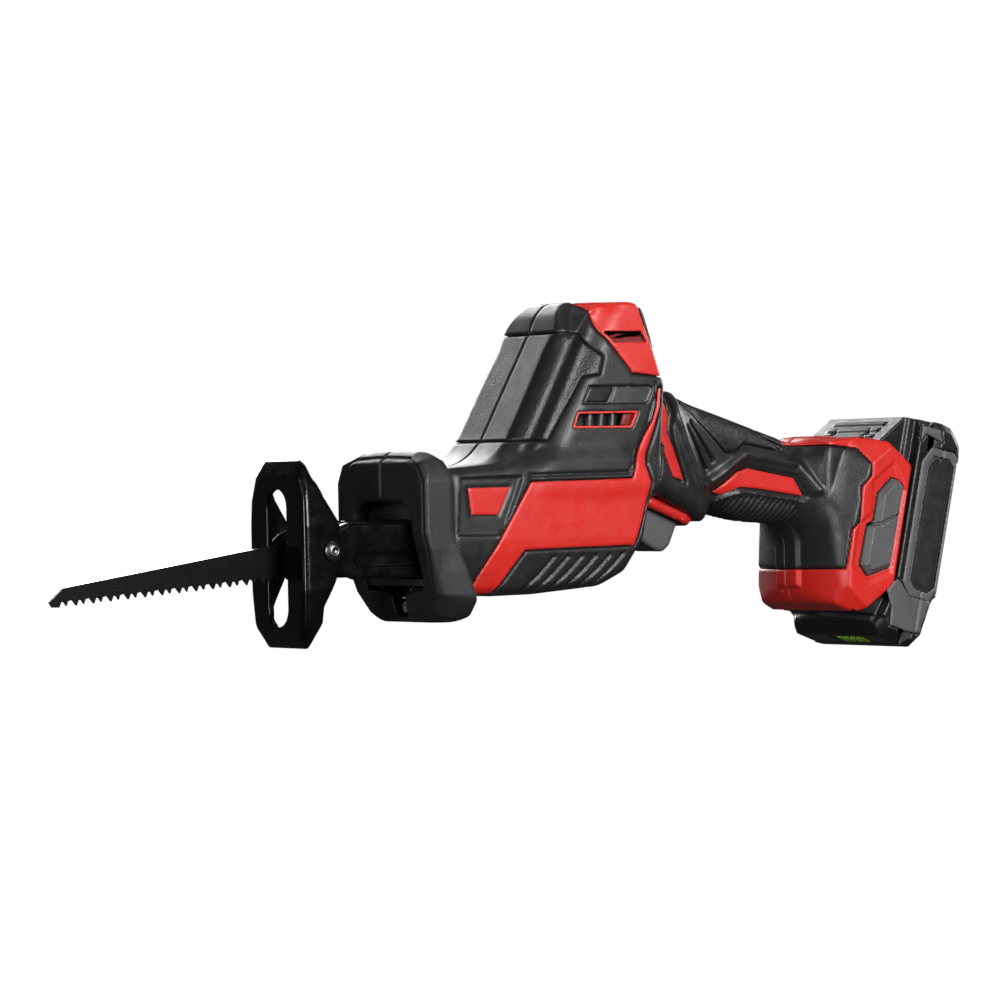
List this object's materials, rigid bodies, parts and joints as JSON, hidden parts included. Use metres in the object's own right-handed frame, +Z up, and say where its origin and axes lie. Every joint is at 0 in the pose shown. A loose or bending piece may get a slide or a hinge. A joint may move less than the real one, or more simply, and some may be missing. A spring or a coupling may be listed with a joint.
{
  "type": "cordless reciprocating saw",
  "caption": "Compact cordless reciprocating saw with a tapered wood blade, a pivoting shoe, an upright motor hump, a trigger under a rear handle and a slide-on battery pack.",
  "frame": {"origin": "centre of the bounding box's base", "axes": "+X to the rear, towards the battery pack, so the blade points to -X; +Y is the side with the housing screws; +Z up"},
  "size_m": [0.403, 0.066, 0.1397],
  "materials": {
    "red_housing": "satin moulded",
    "black_rubber": "matt moulded",
    "black_plastic": "fine textured",
    "grey_plastic": "satin moulded",
    "black_steel": "gloss black",
    "bright_steel": "machined",
    "cast_aluminium": "as cast",
    "cell_wrap": "shrink wrapped",
    "bronze": "sintered",
    "copper": "plated",
    "circuit_board": "lacquered",
    "clear_lens": "polished",
    "red_lead": "smooth",
    "black_lead": "smooth"
  },
  "bodies": {
    "body": {"housing_left": "red_housing", "housing_right": "red_housing", "housing_screw_1": "bright_steel", "housing_screw_2": "bright_steel", "housing_screw_3": "bright_steel", "housing_screw_4": "bright_steel", "housing_screw_5": "bright_steel", "housing_screw_6": "bright_steel", "nose_boot": "black_rubber", "gearcase": "cast_aluminium", "gearcase_cover": "cast_aluminium", "gear_bearing": "bright_steel", "plunger_bushing": "bronze", "plunger_seal": "black_rubber", "motor_stator": "black_steel", "motor_board": "circuit_board", "motor_mount": "black_plastic", "motor_bearing_front": "bright_steel", "motor_bearing_rear": "bright_steel", "controller_case": "cast_aluminium", "trigger_bezel": "red_housing", "trigger_switch": "grey_plastic", "trigger_spring": "bright_steel", "lamp_holder": "black_plastic", "lamp_lens": "clear_lens", "terminal_block": "black_plastic", "terminal_positive": "copper", "terminal_negative": "copper", "power_lead_positive": "red_lead", "power_lead_negative": "black_lead"},
    "plunger": {"plunger": "bright_steel", "clamp_body": "bright_steel", "clamp_spring": "bright_steel"},
    "clamp_collar": {"clamp_collar": "black_steel"},
    "blade": {"saw_blade": "black_steel"},
    "crank": {"crank_gear": "bright_steel", "crank_roller": "bright_steel"},
    "rotor": {"motor_shaft": "bright_steel", "pinion": "bright_steel", "motor_rotor": "bright_steel", "motor_fan": "black_plastic"},
    "shoe_bracket": {"shoe_bracket": "black_steel"},
    "shoe": {"shoe": "black_steel", "shoe_rivet_left": "bright_steel", "shoe_rivet_right": "bright_steel"},
    "trigger": {"trigger": "grey_plastic"},
    "lock_off": {"lock_off_button": "black_plastic"},
    "release_left": {"release_button_left": "grey_plastic"},
    "release_right": {"release_button_right": "grey_plastic"},
    "battery": {"pack_front_case": "black_plastic", "pack_rear_case": "grey_plastic", "cell_1": "cell_wrap", "cell_2": "cell_wrap", "cell_3": "cell_wrap", "cell_holder_lower": "black_plastic", "cell_holder_upper": "black_plastic", "pack_board": "circuit_board", "pack_contact_positive": "copper", "pack_contact_negative": "copper", "gauge_window": "clear_lens"}
  },
  "joints": [
    {"name": "plunger_stroke", "type": "slide", "parent": "body", "child": "plunger", "axis": [1, 0, 0], "range_m": [-0.00635, 0.00635]},
    {"name": "crank_turn", "type": "hinge", "parent": "body", "child": "crank", "pos_m": [0.00703, 0, 0.05184], "axis": [0, 1, 0], "range_deg": [-90.5, 90.5]},
    {"name": "rotor_spin", "type": "hinge", "parent": "body", "child": "rotor", "pos_m": [0.00703, 0, 0.05184], "axis": [0.309, 0, 0.9511], "range_deg": [-325.5, 325.5]},
    {"name": "blade_pull", "type": "slide", "parent": "plunger", "child": "blade", "axis": [-1, 0, 0], "range_m": [0, 0.06]},
    {"name": "clamp_twist", "type": "hinge", "parent": "plunger", "child": "clamp_collar", "pos_m": [-0.06097, 0, 0.04584], "axis": [-1, 0, 0], "range_deg": [0, 60], "stiffness_Nm_per_rad": 0.05, "springref_deg": -17.19},
    {"name": "bracket_slide", "type": "slide", "parent": "body", "child": "shoe_bracket", "axis": [1, 0, 0], "range_m": [0, 0.0095]},
    {"name": "shoe_pivot", "type": "hinge", "parent": "shoe_bracket", "child": "shoe", "pos_m": [-0.09297, 0, 0.04634], "axis": [0, 1, 0], "range_deg": [-20, 20]},
    {"name": "trigger_pull", "type": "slide", "parent": "body", "child": "trigger", "axis": [0.3746, 0, 0.9272], "range_m": [0, 0.006], "stiffness_N_per_m": 400, "springref_m": -0.005, "deforming": ["trigger_spring"]},
    {"name": "lock_off_slide", "type": "slide", "parent": "body", "child": "lock_off", "axis": [0, 1, 0], "range_m": [-0.002, 0.002]},
    {"name": "release_left_press", "type": "slide", "parent": "body", "child": "release_left", "axis": [0, 1, 0], "range_m": [0, 0.0018], "stiffness_N_per_m": 600, "springref_m": -0.003},
    {"name": "release_right_press", "type": "slide", "parent": "body", "child": "release_right", "axis": [0, -1, 0], "range_m": [0, 0.0018], "stiffness_N_per_m": 600, "springref_m": -0.003},
    {"name": "battery_slide", "type": "slide", "parent": "body", "child": "battery", "axis": [-0.225, 0, -0.9744], "range_m": [0, 0.085]}
  ],
  "couplings": [
    {"joint": "crank_turn", "follows": "plunger_stroke", "rad_per_m": -247.37},
    {"joint": "rotor_spin", "follows": "plunger_stroke", "rad_per_m": 890.53}
  ]
}
